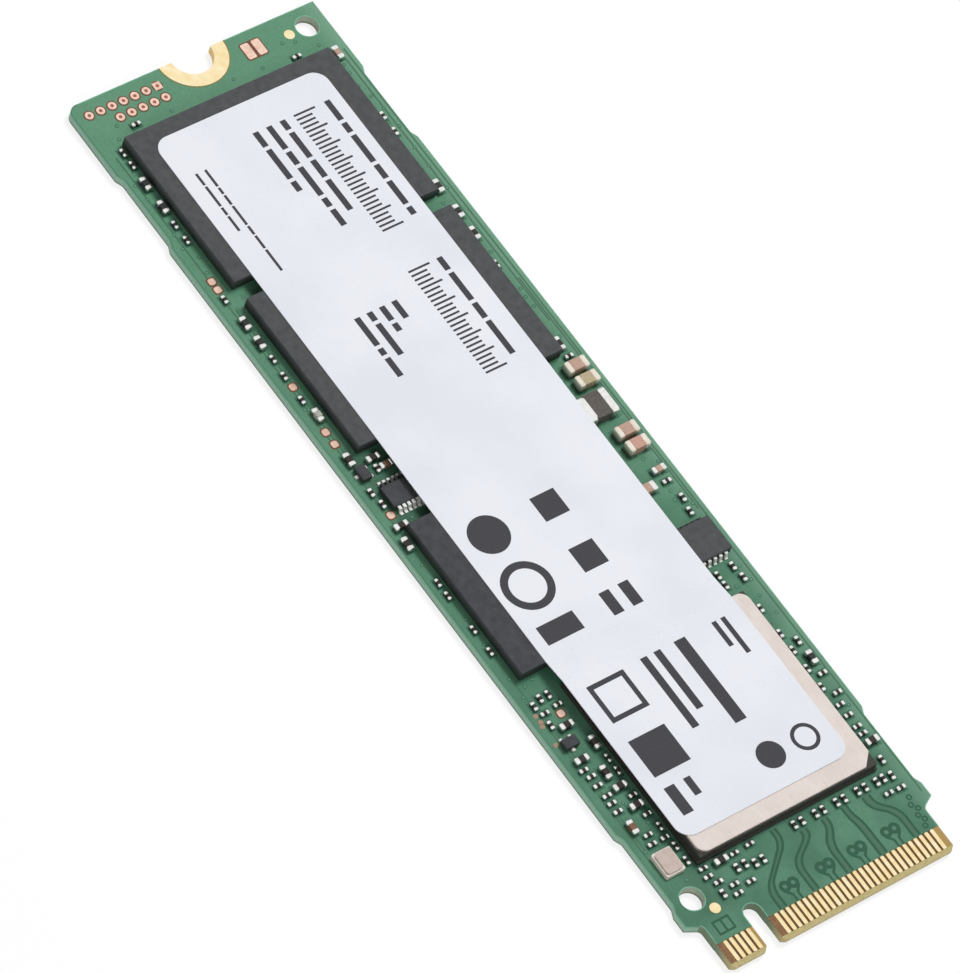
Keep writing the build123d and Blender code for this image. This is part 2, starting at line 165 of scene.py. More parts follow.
def board_recipe(place):
    """Green solder mask, bare laminate between and beside the contacts, pale walls, gold notch wall."""
    x, y, z = place.parts()
    wall = walls(place)
    on_top = z > board_top / 2
    cloud = place.noise(0.3, 3).ramp(0.35, 0.65)
    grain = place.noise(7, 4)
    # Painted light: the mask is paler towards the notch end and darker towards the contacts
    mask = x.ramp(tip - 12, notch_end + 4).blend(paint("#426D57"), paint("#56876A"))
    mask = (cloud * 0.5).blend(mask, paint("#5F8D73"))
    mask = (grain.ramp(0.45, 0.8) * 0.45).blend(mask, paint("#38624C"))
    # Painted shade: darker mask among the crowded parts between the near flash chip and the memory chip
    shade_among_parts = on_top * x.ramp(-6.3, -5.6) * x.ramp(1.2, 0.4) * y.ramp(-10.2, -9.6)
    mask = (shade_among_parts * y.ramp(-3.0, -6.0) * 0.55).blend(mask, paint("#1C3B2D"))
    # Painted shade: darker mask by the tooling hole near the contacts
    by_hole = on_top * x.ramp(30.8, 31.8) * x.ramp(36.6, 35.6) * y.ramp(-9.8, -8.8)
    mask = (by_hole * y.ramp(-6.0, -7.0) * 0.3).blend(mask, paint("#23412F"))
    # Painted light: the mask is paler towards the right edge
    mask = (y.ramp(right_edge - 1.5, right_edge - 0.1) * 0.3).blend(mask, paint("#8CAE9A"))

    pale = grain.ramp(0.3, 0.7).blend(paint("#86AF98"), paint("#9ABEAA"))
    pale = z.ramp(0.45, 0.8).blend(pale, paint("#669A7C"))
    pale = (z < 0.12).blend(pale, paint("#6F7D68"))
    tongue = grain.ramp(0.3, 0.7).blend(paint("#5F7560"), paint("#7B8A6C"))
    tan = grain.ramp(0.3, 0.7).blend(paint("#AA9B66"), paint("#C2B586"))
    tongue = x.ramp(tip - 1.8, tip - 0.4).blend(tongue, tan)
    # Painted shade: the walls of the tooling holes darken towards the bottom
    near_hole = sum((abs(x - hole_x) < 1.0) * (abs(y - hole_y) < 1.0) for hole_x, hole_y in tooling_holes)
    pale = near_hole.blend(pale, z.ramp(0.05, 0.3).blend(paint("#7C7E6E"), paint("#A8B5A3")))
    colour = wall.blend(mask, (x > tongue_start).blend(pale, tongue))

    margin = grain.ramp(0.3, 0.7).blend(paint("#6C4A2E"), paint("#8A6A48"))
    margin = ((y > 9.3) + (abs(y + 6.6) < 0.6)).blend(margin, paint("#A3874F"))
    gap = grain.ramp(0.3, 0.7).blend(paint("#4A3210"), paint("#684818"))
    in_rows = sum(abs(y - middle) < half for middle, half in contact_rows)
    bare = (x > laminate_start) * (1 - wall)
    colour = bare.blend(colour, in_rows.blend(margin, gap))
    colour = ((x > bevel_start) * (1 - wall)).blend(colour, tan)
    notch = (x < notch_end + notch_reach) * (abs(y) < notch_reach) * wall * (x > notch_end + 0.01)
    colour = notch.blend(colour, paint("#D9BE86"))
    return {"Base Color": colour, "Roughness": 0.3 + 0.2 * grain + 0.2 * wall,
            "Metallic": notch * 0.9, "Normal": (cloud + grain * 0.3).bump(0.004, 0.4)}


def gold_recipe(place):
    wear = place.noise(1.7, 4)
    fine = place.noise(14, 3)
    colour = wear.ramp(0.35, 0.7).blend(paint("#F8E0AA"), paint("#FFF1CA"))
    colour = (fine.ramp(0.55, 0.8) * 0.2).blend(colour, paint("#D9B879"))
    return {"Base Color": colour, "Roughness": 0.24 + 0.16 * wear, "Normal": fine.bump(0.002, 0.3)}


def copper_recipe(place):
    tarnish = place.noise(3, 4)
    colour = tarnish.ramp(0.35, 0.7).blend(paint("#F4D8C6"), paint("#E8BCA6"))
    return {"Base Color": colour, "Roughness": 0.28 + 0.2 * tarnish}


def mottled_recipe(dark, light, scale=4, detail=3):
    """Two shades of one colour: mask over copper or laminate, lines round bare metal, dull copper."""
    def recipe(place):
        shade = place.noise(scale, detail)
        return {"Base Color": shade.blend(paint(dark), paint(light)), "Roughness": 0.3 + 0.2 * shade}
    return recipe


def rim_recipe(place):
    """Thin mask at the edge: pale at the right edge and the far end; along the left edge painted darker as
    shade.
    """
    shade = place.noise(3, 4)
    colour = shade.ramp(0.35, 0.7).blend(paint("#5F9879"), paint("#7BAC92"))
    # Painted shade along the left edge
    colour = (place.parts()[1] < left_edge + 0.9).blend(colour, paint("#41705A"))
    return {"Base Color": colour, "Roughness": 0.45 + 0.2 * shade}


def moulding_recipe(dark, light):
    """Moulded black compound: fine mottling on top, and painted shade darkening the walls towards the
    board.
    """
    def recipe(place):
        z = place.parts()[2]
        mottle = place.noise(1.6, 5)
        fine = place.noise(22, 3)
        colour = mottle.ramp(0.3, 0.7).blend(paint(dark), paint(light))
        colour = (fine.ramp(0.5, 0.8) * 0.4).blend(colour, paint("#606264"))
        # Painted shade: the walls darken towards the board
        painted_foot_shade = walls(place) * z.ramp(board_top + 0.95, board_top + 0.4)
        colour = painted_foot_shade.blend(colour, paint("#2B332F"))
        return {"Base Color": colour, "Roughness": 0.45 + 0.25 * fine, "Normal": fine.bump(0.004, 0.5)}
    return recipe


def lid_recipe(place):
    """Satin nickel-plated metal with a faint rolling grain along X."""
    grain = place.node("Mapping", {}, {"Vector": place, "Scale": (0.6, 9.0, 9.0)}).noise(1.5, 4)
    cloud = place.noise(0.5, 3)
    colour = cloud.ramp(0.3, 0.7).blend(paint("#DDD2CB"), paint("#E6DDD7"))
    colour = (grain.ramp(0.4, 0.8) * 0.4).blend(colour, paint("#CBBFB7"))
    return {"Base Color": colour, "Roughness": 0.34 + 0.14 * grain, "Normal": grain.bump(0.002, 0.3)}


def paper_recipe(place):
    fibre = place.noise(6, 5)
    cloud = place.noise(0.15, 2)
    colour = cloud.ramp(0.35, 0.65).blend(paint("#DADCE3"), paint("#E1E3E9"))
    colour = (fibre.ramp(0.45, 0.8) * 0.25).blend(colour, paint("#CFD2DB"))
    return {"Base Color": colour, "Roughness": 0.45 + 0.15 * fibre, "Normal": fibre.bump(0.003, 0.3)}


def ink_recipe(place):
    speck = place.noise(12, 4)
    return {"Base Color": speck.ramp(0.4, 0.8).blend(paint("#2E2E33"), paint("#45454B")),
            "Roughness": 0.5 + 0.2 * speck}


def tin_recipe(place):
    """Solder over a metal end: a bright crown, and a foot darkened towards the board as painted shade and
    reflection.
    """
    z = place.parts()[2]
    flow = place.noise(3.5, 4)
    fine = place.noise(20, 2)
    colour = flow.ramp(0.35, 0.7).blend(paint("#E2E2DF"), paint("#F6F6F4"))
    colour = (fine.ramp(0.55, 0.8) * 0.3).blend(colour, paint("#A9A8A2"))
    # Painted shade and reflection: darker towards the board
    colour = (z.ramp(board_top + 0.2, board_top) * 0.8).blend(colour, paint("#5B5F5A"))
    return {"Base Color": colour, "Roughness": 0.22 + 0.2 * flow, "Normal": flow.bump(0.01, 0.35)}


def lead_recipe(body_x, bright_foot):
    """Tinned leads. The far ones, behind the body, are painted dark with the body's shade above their
    bright feet.
    """
    def recipe(place):
        x, _, z = place.parts()
        flow = place.noise(5, 3)
        colour = flow.ramp(0.35, 0.7).blend(paint("#E2E1DD"), paint("#F4F4F2"))
        # Painted shade from the chip's body on the far leads
        painted_body_shade = (x < body_x) * z.ramp(board_top + bright_foot, board_top + bright_foot + 0.06)
        return {"Base Color": painted_body_shade.blend(colour, paint("#3A3B39")), "Roughness": 0.4 + 0.15 * flow}
    return recipe


def fired_end_recipe(place):
    """Fired silver end of a large ceramic block, dulled to a cream, with a foot darkened as painted shade
    and reflection of the board in the solder.
    """
    z = place.parts()[2]
    flow = place.noise(4, 4)
    colour = flow.ramp(0.35, 0.7).blend(paint("#DFD6C6"), paint("#F0EADF"))
    # Painted shade and reflection: darker towards the board
    colour = (z.ramp(board_top + 0.5, board_top + 0.1) * 0.75).blend(colour, paint("#4C4A3F"))
    return {"Base Color": colour, "Roughness": 0.42 + 0.2 * flow, "Normal": flow.bump(0.006, 0.3)}


def ceramic_recipe(dark, light):
    def recipe(place):
        grain = place.noise(9, 4)
        colour = grain.ramp(0.35, 0.7).blend(paint(dark), paint(light))
        return {"Base Color": colour, "Roughness": 0.4 + 0.25 * grain, "Normal": grain.bump(0.004, 0.4)}
    return recipe


def crystal_lid_recipe(place):
    grain = place.noise(4, 4)
    colour = grain.ramp(0.3, 0.7).blend(paint("#BFADA4"), paint("#CDBDB5"))
    return {"Base Color": colour, "Roughness": 0.28 + 0.2 * grain}


board_mask = make_finish("solder_mask_green", board_recipe, IOR=1.45)
gold = make_finish("contact_gold", gold_recipe, Metallic=1.0)
copper = make_finish("bare_copper", copper_recipe, Metallic=0.85)
pad_outline = make_finish("pad_outline_brown", mottled_recipe("#54301F", "#704632"))
drilled = make_finish("drilled_middle_red", mottled_recipe("#86453C", "#A15D52"))
dull_copper = make_finish("dot_tarnished", mottled_recipe("#8A735F", "#A58C78"))
land_olive = make_finish("land_outline_olive", mottled_recipe("#6B6A3E", "#84834F"))
etched = make_finish("mask_over_laminate", mottled_recipe("#154430", "#1F523B"))
clearance = make_finish("mask_round_pads", mottled_recipe("#2A5642", "#3A6852"))
trace_green = make_finish("mask_over_trace", mottled_recipe("#375D46", "#416B52"))
via_green = make_finish("mask_over_via", mottled_recipe("#55866D", "#68967E", 6, 2))
rim_pale = make_finish("mask_edge_pale", rim_recipe)
low_gloss = {"Specular IOR Level": 0.2}
flash_black = make_finish("flash_moulding", moulding_recipe("#424445", "#4F5152"), **low_gloss)
chip_black = make_finish("chip_moulding", moulding_recipe("#393A3D", "#46474A"), **low_gloss)
lid_metal = make_finish("lid_satin_metal", lid_recipe, Metallic=0.75)
label_paper = make_finish("label_paper", paper_recipe)
label_ink = make_finish("label_ink", ink_recipe)
tin = make_finish("solder_tin", tin_recipe, Metallic=1.0)
fired_end = make_finish("fired_end_cream", fired_end_recipe, Metallic=0.55)
base_black = make_finish("controller_base_black", ceramic_recipe("#2B2A26", "#393732"))
crystal_metal = make_finish("crystal_lid_metal", crystal_lid_recipe, Metallic=0.7)
crystal_ceramic = make_finish("crystal_ceramic", ceramic_recipe("#CFC6BC", "#E2DBD2"))
block_black = make_finish("resistor_black", ceramic_recipe("#1B1A1B", "#2A292B"))
block_dark = make_finish("capacitor_dark", ceramic_recipe("#1B1613", "#2A221D"))
block_brown = make_finish("capacitor_brown", ceramic_recipe("#6A4A38", "#80604C"))
block_tan = make_finish("capacitor_tan", ceramic_recipe("#A98B7A", "#BD9F90"))
block_khaki = make_finish("capacitor_khaki", ceramic_recipe("#A29476", "#B8AA8C"))
block_pink = make_finish("capacitor_pink", ceramic_recipe("#B5897B", "#C79D90"))
block_grey = make_finish("capacitor_grey", ceramic_recipe("#9C9A93", "#B4B2AA"))
coil_core = make_finish("coil_ferrite", ceramic_recipe("#45403C", "#5F5A55"))


# ---------------------------------------------------------------- modelling helpers, millimetres
square = math.pi / 4  # turns a four-sided disc or ring parallel to the board


def span(points):
    """Lowest and highest corner of the box round some points."""
    axes = list(zip(*points))
    return Vector(map(min, axes)), Vector(map(max, axes))


def solid_boxes(node):
    """Lowest and highest corner of every separate solid of a CAD node."""
    bm = bmesh.new()
    bm.from_mesh(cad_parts[node].data)
    bmesh.ops.remove_doubles(bm, verts=bm.verts, dist=0.001 * MM)
    left = set(bm.verts)
    boxes = []
    while left:
        todo = [left.pop()]
        reached = list(todo)
        while todo:
            for edge in todo.pop().link_edges:
                for vert in edge.verts:
                    if vert in left:
                        left.remove(vert)
                        reached.append(vert)
                        todo.append(vert)
        boxes.append(span([vert.co / MM for vert in reached]))
    bm.free()
    return sorted(boxes, key=lambda box: tuple(round(value, 4) for value in box[0]))


def block(bm, low, high):
    """A box between two corners."""
    verts = bmesh.ops.create_cube(bm, size=1.0)["verts"]
    low, high = Vector(low), Vector(high)
    bmesh.ops.scale(bm, vec=high - low, verts=verts)
    bmesh.ops.translate(bm, vec=(low + high) / 2, verts=verts)
    return verts


def edges_of(verts):
    return list({edge for vert in verts for edge in vert.link_edges})


def faces_of(verts):
    return list({face for vert in verts for face in vert.link_faces})


def round_edges(bm, edges, radius, steps=2):
    bmesh.ops.bevel(bm, geom=edges, offset=radius, offset_type="OFFSET", affect="EDGES",
                    segments=steps, profile=0.5, material=-1, clamp_overlap=True)


def rounded_plate(bm, low, high, radius):
    """A flat plate with rounded corners."""
    uprights = [edge for edge in edges_of(block(bm, low, high))
                if abs(edge.verts[0].co.z - edge.verts[1].co.z) > 0.005]
    round_edges(bm, uprights, radius, 3)


def bar(bm, start, end, width, low, high):
    """A flat bar between two points of the board's plane, with square overlapping ends."""
    start, end = Vector(start), Vector(end)
    along = end - start
    verts = bmesh.ops.create_cube(bm, size=1.0)["verts"]
    bmesh.ops.scale(bm, vec=(along.length + width * 0.6, width, high - low), verts=verts)
    bmesh.ops.rotate(bm, matrix=Matrix.Rotation(math.atan2(along.y, along.x), 3, "Z"), verts=verts)
    middle = (start + end) / 2
    bmesh.ops.translate(bm, vec=(middle.x, middle.y, (low + high) / 2), verts=verts)


def tube(bm, x, y, radius, low, high, sides, turn, capped):
    """An upright tube or, with caps, a closed disc."""
    verts = bmesh.ops.create_cone(bm, cap_ends=capped, segments=sides, radius1=radius, radius2=radius,
                                  depth=high - low)["verts"]
    bmesh.ops.rotate(bm, matrix=Matrix.Rotation(turn, 3, "Z"), verts=verts)
    bmesh.ops.translate(bm, vec=(x, y, (low + high) / 2), verts=verts)
    return verts


def disc(bm, x, y, radius, low, high, sides=20, turn=0.0):
    tube(bm, x, y, radius, low, high, sides, turn, True)


def ring(bm, x, y, outer, inner, low, high, sides=28, turn=0.0):
    """A flat ring: two walls bridged at the top and at the bottom. Four sides make a square frame."""
    loops = {low: [], high: []}
    for radius in (outer, inner):
        verts = tube(bm, x, y, radius, low, high, sides, turn, False)
        if radius == inner:
            bmesh.ops.reverse_faces(bm, faces=faces_of(verts))
        for edge in edges_of(verts):
            heights = [vert.co.z for vert in edge.verts]
            if abs(heights[0] - heights[1]) < (high - low) / 2:
                loops[low if heights[0] < (low + high) / 2 else high].append(edge)
    for edges in loops.values():
        bmesh.ops.bridge_loops(bm, edges=edges)


def dress(node, finish):
    """Give a CAD node its finish."""
    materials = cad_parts[node].data.materials
    materials.clear()
    materials.append(finish)


def add_object(name, data):
    """Put a mesh, lamp or camera into the scene."""
    added = bpy.data.objects.new(name, data)
    bpy.context.scene.collection.objects.link(added)
    return added


def place_piece(name, bm, finishes, slot, *stands_for):
    """Turn a shape modelled in millimetres into a piece that rides on the board."""
    bmesh.ops.recalc_face_normals(bm, faces=bm.faces)
    bmesh.ops.scale(bm, vec=(MM, MM, MM), verts=bm.verts)
    mesh = bpy.data.meshes.new(name)
    bm.to_mesh(mesh)
    bm.free()
    for finish in finishes:
        mesh.materials.append(finish)
    piece = add_object(name, mesh)
    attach(piece, "root")
    if stands_for:
        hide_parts(*stands_for)
    return piece


def shade_round(piece):
    """Smooth rounded edges while the flats stay flat."""
    piece.data.shade_smooth()
    piece.modifiers.new("even_shading", "WEIGHTED_NORMAL").keep_sharp = True


# ---------------------------------------------------------------- board, contacts and pads
dress("circuit_board", board_mask)
dress("screw_notch_plating", gold)
dress("fiducial_dots", gold)
dress("test_pads", copper)

undercut = Vector((0, 0.024, 0))  # etching leaves each side of a finger this much narrower
finger_round = 0.08
finger_rim = 0.012
sharp_angle = 1.0  # radians
for row in ("top_main", "top_key", "bottom_main", "bottom_key"):
    bm = bmesh.new()
    for low, high in solid_boxes(f"contacts_{row}"):
        rounded_plate(bm, low + undercut, high - undercut, finger_round)
    rims = [edge for edge in bm.edges if edge.calc_face_angle() > sharp_angle]
    round_edges(bm, rims, finger_rim, 1)
    shade_round(place_piece(f"contact_fingers_{row}", bm, [gold], "gold", f"contacts_{row}"))

# Bare pads with rounded corners, and the square frame that marks the first place of a test row
jumper_round = 0.14
spare_round = 0.17
frame_outer, frame_inner = 1.38, 0.9  # as shares of the pad's radius
frame_height = 0.028
for name, node, radius in (("jumper_plates", "jumper_pads", jumper_round),
                           ("spare_plates", "spare_pads", spare_round)):
    bm = bmesh.new()
    for low, high in solid_boxes(node):
        rounded_plate(bm, low, high, radius)
    place_piece(name, bm, [copper], "copper", node)

test_places = [((low + high) / 2, (high.x - low.x) / 2) for low, high in solid_boxes("test_pads")]
first_pad, first_radius = max(test_places, key=lambda pad: pad[0].y - pad[0].x)
bm = bmesh.new()
ring(bm, first_pad.x, first_pad.y, first_radius * frame_outer, first_radius * frame_inner,
     board_top, board_top + frame_height, 4, square)
place_piece("first_pad_frame", bm, [copper], "copper")

# Dark rims where the mask stops short of a bare pad; the two jumper pads share one
rim_top = board_top + 0.012
disc_rim = 0.11
plate_rim = 0.1
plate_rim_round = 0.22
bm = bmesh.new()
for middle, radius in test_places:
    disc(bm, middle.x, middle.y, radius + disc_rim, board_top, rim_top)
both_jumpers = span([end for box in solid_boxes("jumper_pads") for end in box])
for low, high in [both_jumpers] + solid_boxes("spare_pads"):
    rounded_plate(bm, (low.x - plate_rim, low.y - plate_rim, board_top),
                  (high.x + plate_rim, high.y + plate_rim, rim_top), plate_rim_round)
place_piece("pad_rims", bm, [pad_outline], "copper")

# Reddish middles of the test pads, and four dull dots near the left edge
middle_share = 0.42  # of the pad's radius
middle_base, middle_top = board_top + 0.02, board_top + 0.033
dot_radius = 0.2
dot_height = 0.02
bm = bmesh.new()
for middle, radius in test_places:
    disc(bm, middle.x, middle.y, radius * middle_share, middle_base, middle_top, 14)
place_piece("drilled_middles", bm, [drilled], "copper")
bm = bmesh.new()
for x, y in ((17.4, -10.45), (17.95, -10.4), (18.3, -10.5), (19.95, -10.55)):
    disc(bm, x, y, dot_radius, board_top, board_top + dot_height, 14)
place_piece("tarnished_dots", bm, [dull_copper], "copper")

# Olive line where the mask stops short of the gold land: a small profile spun half round the notch
land_line = (2.84, 2.94)
bm = bmesh.new()
profile = block(bm, (land_line[0], -0.01, board_top), (land_line[1], 0, rim_top))
swept = [face for face in faces_of(profile) if face.normal.y > 0.5]
bmesh.ops.delete(bm, geom=[face for face in bm.faces if face not in swept], context="FACES")
bmesh.ops.spin(bm, geom=swept + list(swept[0].edges) + list(swept[0].verts), cent=(0, 0, 0),
               axis=(0, 0, 1), angle=math.pi, steps=28, use_merge=False, use_duplicate=False)
bmesh.ops.rotate(bm, matrix=Matrix.Rotation(-math.pi / 2, 3, "Z"), verts=bm.verts)
bmesh.ops.translate(bm, vec=(notch_end, 0, 0), verts=bm.verts)
place_piece("land_outline", bm, [land_olive], "copper")

# A pale line round the top face, where the mask stops short of the board's edge; along the left edge it is
# painted darker as shade
edge_line_width = 0.08
edge_line_height = 0.004
bm = bmesh.new()
bm.from_mesh(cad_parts["circuit_board"].data)
bmesh.ops.scale(bm, vec=(1 / MM, 1 / MM, 1 / MM), verts=bm.verts)
bmesh.ops.remove_doubles(bm, verts=bm.verts, dist=0.001)
under = [face for face in bm.faces if face.calc_center_median().z < board_top - 0.002]
bmesh.ops.delete(bm, geom=under, context="FACES")
bmesh.ops.dissolve_limit(bm, angle_limit=0.02, verts=bm.verts, edges=bm.edges)
rim_faces = bmesh.ops.inset_region(bm, faces=bm.faces[:], thickness=edge_line_width, use_boundary=True,
                                   use_even_offset=True)["faces"]
unwanted = [face for face in bm.faces
            if face not in rim_faces or face.calc_center_median().x > laminate_start - 0.2]
bmesh.ops.delete(bm, geom=unwanted, context="FACES")
bmesh.ops.solidify(bm, geom=bm.faces[:], thickness=-edge_line_height)
place_piece("mask_edge_line", bm, [rim_pale], "board_green")

# Traces to the contacts, in pairs: the lines etched at their sides show as darker green through the
# mask, and the copper between them as a paler run
trace_end = laminate_start - 0.15
trace_pairs = [
    ([(33.7, 7.0), (34.5, 7.0), (35.6, 8.3), (trace_end, 8.3)],
     [(33.7, 6.4), (34.6, 6.4), (35.7, 7.8), (trace_end, 7.8)]),
    ([(33.6, 5.0), (34.4, 5.0), (35.2, 5.3), (trace_end, 5.3)],
     [(33.6, 4.55), (34.5, 4.55), (35.3, 4.75), (trace_end, 4.75)]),
    ([(33.7, 3.15), (34.5, 3.15), (35.6, 2.25), (trace_end, 2.25)],
     [(33.7, 2.7), (34.4, 2.7), (35.4, 1.75), (trace_end, 1.75)]),
    ([(33.7, 1.3), (34.3, 1.3), (35.6, -0.8), (trace_end, -0.8)],
     [(33.7, 0.8), (34.2, 0.8), (35.5, -1.25), (trace_end, -1.25)]),
    ([(32.7, -0.7), (33.8, -0.7), (36.2, -3.7), (trace_end, -3.7)],
     [(32.7, -1.1), (33.7, -1.1), (36.3, -4.2), (trace_end, -4.2)]),
]
edge_traces = [  # along the long edges: first and last x, and y
    (notch_end + 4.6, 35.2, right_edge - 0.4),
    (notch_end + 5.2, 32.0, left_edge + 0.8),
    (-20.0, -6.5, left_edge + 1.1),
    (notch_end + 5.4, -9.0, right_edge - 0.8),
    (-13.0, 9.0, right_edge - 0.62),
    (17.0, 30.0, left_edge + 1.05),
]
line_top = board_top + 0.006
line_step = 0.0002
side_width = 0.19
run_top = board_top + 0.002
run_step = 0.0003
edge_trace_width = 0.13
edge_trace_top = board_top + 0.005
height_cycle = 8  # bars that overlap differ a little in height, so that no two tops share a plane


def drawn_bends(line):
    """The points of a line after its corners have been cut three times, each time closer by."""
    line = [Vector(point) for point in line]
    for reach in (0.45, 0.2, 0.09):
        cut = [line[0]]
        for start, end in zip(line, line[1:]):
            share = min(0.3, reach / (end - start).length)
            cut += [start.lerp(end, share), start.lerp(end, 1 - share)]
        line = cut + [line[-1]]
    return line


bm, copper_runs = bmesh.new(), bmesh.new()
for pair in trace_pairs:
    sides = [drawn_bends(line) for line in pair]
    for line in sides:
        for step, (start, end) in enumerate(zip(line, line[1:])):
            bar(bm, start, end, side_width, board_top, line_top + line_step * (step % height_cycle))
    between = [(first + second) / 2 for first, second in zip(*sides)]
    for step, (start, end) in enumerate(zip(between, between[1:])):
        gap, along = sides[0][step] - sides[1][step], (end - start).normalized()
        width = abs(gap.cross(along))
        bar(copper_runs, start, end, width, board_top, run_top + run_step * (step % height_cycle))
for start_x, end_x, y in edge_traces:
    bar(copper_runs, (start_x, y), (end_x, y), edge_trace_width, board_top, edge_trace_top)
place_piece("buried_traces", copper_runs, [trace_green], "board_green")

# A small frame with a middle bar, behind the contacts beyond the key notch
frame_x = (36.5, 37.5)
frame_y = (-7.9, -9.2)
frame_width = 0.16
for y in (*frame_y, sum(frame_y) / 2):
    bar(bm, (frame_x[0], y), (frame_x[1], y), frame_width, board_top, line_top)
for x in frame_x:
    bar(bm, (x, frame_y[0]), (x, frame_y[1]), frame_width, board_top, line_top + 0.001)

# Between the trace pairs: two loops side by side, each with a slanted arm and a stem to the contacts
loop_x, arm_x, bend_x, stem_x = 36.65, 36.95, 37.4, 37.95
loop_out, arm_out, stem_out = 0.36, 0.62, 0.22  # to either side of the middle
loop_outer, loop_inner = 0.45, 0.17
arm_width, stem_width = 0.2, 0.17
loop_top, arm_top = line_top + 0.005, line_top + 0.002
loop_step = 0.001  # so that the two loops don't share a plane
for y in (6.6, 3.55, 0.7, -2.5):
    for side in (1, -1):
        bend = (bend_x, y + side * stem_out)
        top = loop_top + side * loop_step
        ring(bm, loop_x, y + side * loop_out, loop_outer, loop_inner, board_top, top, 20)
        bar(bm, (arm_x, y + side * arm_out), bend, arm_width, board_top, arm_top)
        bar(bm, bend, (stem_x, bend[1]), stem_width, board_top, line_top)

# A zigzag of small rings by the right edge
for x, y in ((35.2, 9.45), (35.75, 9.2), (36.2, 9.5), (36.65, 9.15), (37.1, 9.4), (37.55, 9.1)):
    ring(bm, x, y, 0.24, 0.12, board_top, line_top, 14)
place_piece("etched_lines", bm, [etched], "board_green")

# Vias under the mask: drilled through, so each shows on both faces
chance = random.Random(7)
stands = [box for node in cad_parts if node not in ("circuit_board", "label", "controller_lid")
          for box in solid_boxes(node)]
holes = [(notch_end, 0, 3.3)] + [(x, y, 1.4) for x, y in tooling_holes]  # with the room they need
via_zones = [((notch_end + 0.8, left_edge + 1.0), (notch_end + 4.0, right_edge - 0.8), 50),
             ((notch_end + 5.0, left_edge + 0.6), (33.0, left_edge + 3.4), 420),
             ((notch_end + 5.0, right_edge - 2.2), (33.0, right_edge - 0.7), 150)]
part_room = 0.3
via_pitch = 0.75
via_ring = (0.15, 0.012)  # radius, height
via_cap = (0.08, 0.015)
vias = []


def has_room(x, y):
    """Whether a via at this place keeps clear of the parts, the holes and the vias before it."""
    by_part = any(low.x - part_room < x < high.x + part_room and low.y - part_room < y < high.y + part_room
                  for low, high in stands)
    by_hole = any(math.hypot(x - hole_x, y - hole_y) < room for hole_x, hole_y, room in holes)
    by_via = any(math.hypot(x - via_x, y - via_y) <= via_pitch for via_x, via_y in vias)
    return not (by_part or by_hole or by_via)


for (low_x, low_y), (high_x, high_y), tries in via_zones:
    for _ in range(tries):
        x, y = chance.uniform(low_x, high_x), chance.uniform(low_y, high_y)
        if has_room(x, y):
            vias.append((x, y))
bm, caps = bmesh.new(), bmesh.new()
for x, y in vias:
    for face, up in ((board_top, 1), (0.0, -1)):
        disc(bm, x, y, via_ring[0], *sorted((face, face + up * via_ring[1])), 12)
        disc(caps, x, y, via_cap[0], *sorted((face, face + up * via_cap[1])), 10)
place_piece("via_rings", bm, [clearance], "board_green")
place_piece("via_caps", caps, [via_green], "board_green")


# ---------------------------------------------------------------- chips
chip_round = 0.05


def moulded_chip(name, finish, node):
    """Moulded packages with softly broken edges."""
    bm = bmesh.new()
    for low, high in solid_boxes(node):
        round_edges(bm, edges_of(block(bm, low, high)), chip_round)
    shade_round(place_piece(name, bm, [finish], "chip_black", node))


moulded_chip("flash_far_package", flash_black, "flash_chip_far")
moulded_chip("flash_near_package", flash_black, "flash_chip_near")
moulded_chip("memory_package", chip_black, "memory_chip")
moulded_chip("transistor_packages", chip_black, "transistor_bodies")
dress("controller_base", base_black)
dress("controller_lid", lid_metal)
dress("wide_chip_body", flash_black)
dress("thin_chip_body", chip_black)
for chip, bright_foot in (("wide_chip", 0.0), ("thin_chip", 0.12), ("transistor", 1.0)):
    middle_x = sum(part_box(f"{chip}_leads"), Vector()).x / 2 / MM
    lead_tin = make_finish(f"{chip}_lead_tin", lead_recipe(middle_x, bright_foot), Metallic=0.35)
    dress(f"{chip}_leads", lead_tin)
dress("crystal_base", crystal_ceramic)
dress("crystal_lid", crystal_metal)
dress("label", label_paper)


# ---------------------------------------------------------------- passives with solder
special_blocks = [  # blocks of another colour than dark brown, by their middles
    (block_black, [(-31.74, -9.7), (-29.5, -9.7), (-18.55, -10.1), (-16.7, -10.1), (-22.0, 9.64),
                   (-19.55, 9.67), (22.1, -9.8), (23.15, 9.95), (21.5, 9.98), (8.0, 9.8)]),
    (block_brown, [(28.15, -9.85), (-4.15, -7.88)]),
    (block_tan, [(-35.1, 9.88), (5.28, 9.58), (6.3, 7.65), (-4.58, 9.3), (1.63, 9.3)]),
    (block_khaki, [(-3.23, 9.3)]),
    (block_pink, [(2.95, 9.3)]),
    (block_grey, [(-9.8, -9.9)]),
    (coil_core, [(-1.0, 8.64)]),
]
block_finishes = [block_dark] + [finish for finish, _ in special_blocks]
block_round = 0.03
near_enough = 0.45
solder_reach = 0.05  # past the metal end, and as much again for each millimetre of height
solder_side = 0.02
heap_round = 0.28  # as a share of the heap's smallest side
end_overlap = 0.04  # onto the block
coil_overlap = 0.3  # onto the coil, at its end by the label
clear_room, room_step = 0.19, 0.001  # mask round an end: partly the clearance round the pads, partly painted shade round the part
clear_height, clear_step = 0.004, 0.0003
clear_cycle = 7  # plates that overlap differ a little in size and height


def finish_number(place):
    """Which of the block finishes the block at this place has."""
    for number, (_, spots) in enumerate(special_blocks, 1):
        if any(math.hypot(place.x - x, place.y - y) < near_enough for x, y in spots):
            return number
    return 0


def main_way(vector):
    """The unit vector along X or Y that a vector follows most."""
    if abs(vector.x) > abs(vector.y):
        return Vector((math.copysign(1, vector.x), 0, 0))
    return Vector((0, math.copysign(1, vector.y), 0))


